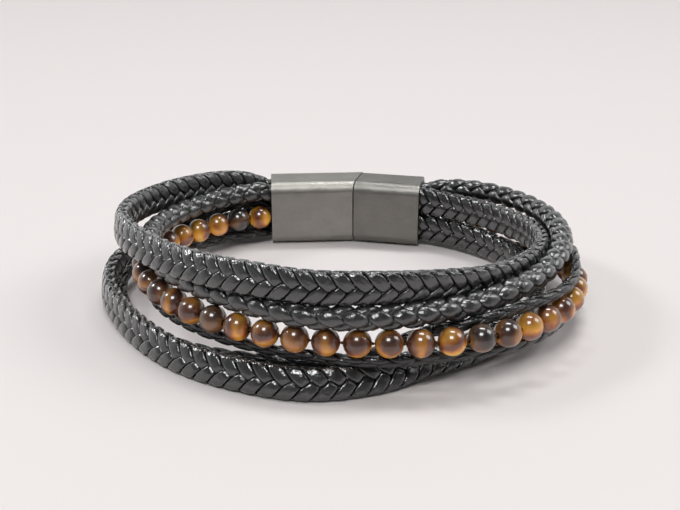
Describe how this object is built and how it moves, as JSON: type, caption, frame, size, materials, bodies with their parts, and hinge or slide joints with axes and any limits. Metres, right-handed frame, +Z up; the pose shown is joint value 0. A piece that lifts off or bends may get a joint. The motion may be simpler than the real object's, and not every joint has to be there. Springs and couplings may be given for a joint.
{
  "type": "leather bracelet",
  "caption": "Multi-strand bracelet of flat and round leather braids, thin cords and a row of small stone beads, closed by a magnetic box clasp.",
  "frame": {"origin": "centre of the bracelet's box at table level, in the middle of the wrist opening", "axes": "+Z up along the wrist axis, +Y towards the clasp at the back, +X to the right when the clasp is at the back, along the widest extent"},
  "size_m": [0.0806, 0.0698, 0.0189],
  "materials": {
    "clasp_steel": "fine brushed gunmetal, matte",
    "flat_leather": "black flat braid, semi-matte",
    "round_leather": "black round braid, semi-gloss",
    "cord_leather": "black thin plaited cord, semi-gloss",
    "bead_thread": "dark waxed thread",
    "stone_beads": "polished banded amber and brown stone"
  },
  "bodies": {
    "root": {"clasp_long_half": "clasp_steel", "clasp_short_half": "clasp_steel", "flat_braid_upper": "flat_leather", "flat_braid_lower": "flat_leather", "round_braid": "round_leather", "thin_cord_upper": "cord_leather", "thin_cord_lower": "cord_leather", "bead_thread": "bead_thread", "bead_01": "stone_beads", "bead_02": "stone_beads", "bead_03": "stone_beads", "bead_04": "stone_beads", "bead_05": "stone_beads", "bead_06": "stone_beads", "bead_07": "stone_beads", "bead_08": "stone_beads", "bead_09": "stone_beads", "bead_10": "stone_beads", "bead_11": "stone_beads", "bead_12": "stone_beads", "bead_13": "stone_beads", "bead_14": "stone_beads", "bead_15": "stone_beads", "bead_16": "stone_beads", "bead_17": "stone_beads", "bead_18": "stone_beads", "bead_19": "stone_beads", "bead_20": "stone_beads", "bead_21": "stone_beads", "bead_22": "stone_beads", "bead_23": "stone_beads", "bead_24": "stone_beads", "bead_25": "stone_beads", "bead_26": "stone_beads", "bead_27": "stone_beads", "bead_28": "stone_beads", "bead_29": "stone_beads", "bead_30": "stone_beads", "bead_31": "stone_beads", "bead_32": "stone_beads", "bead_33": "stone_beads", "bead_34": "stone_beads", "bead_35": "stone_beads", "bead_36": "stone_beads", "bead_37": "stone_beads", "bead_38": "stone_beads", "bead_39": "stone_beads", "bead_40": "stone_beads"}
  },
  "joints": []
}
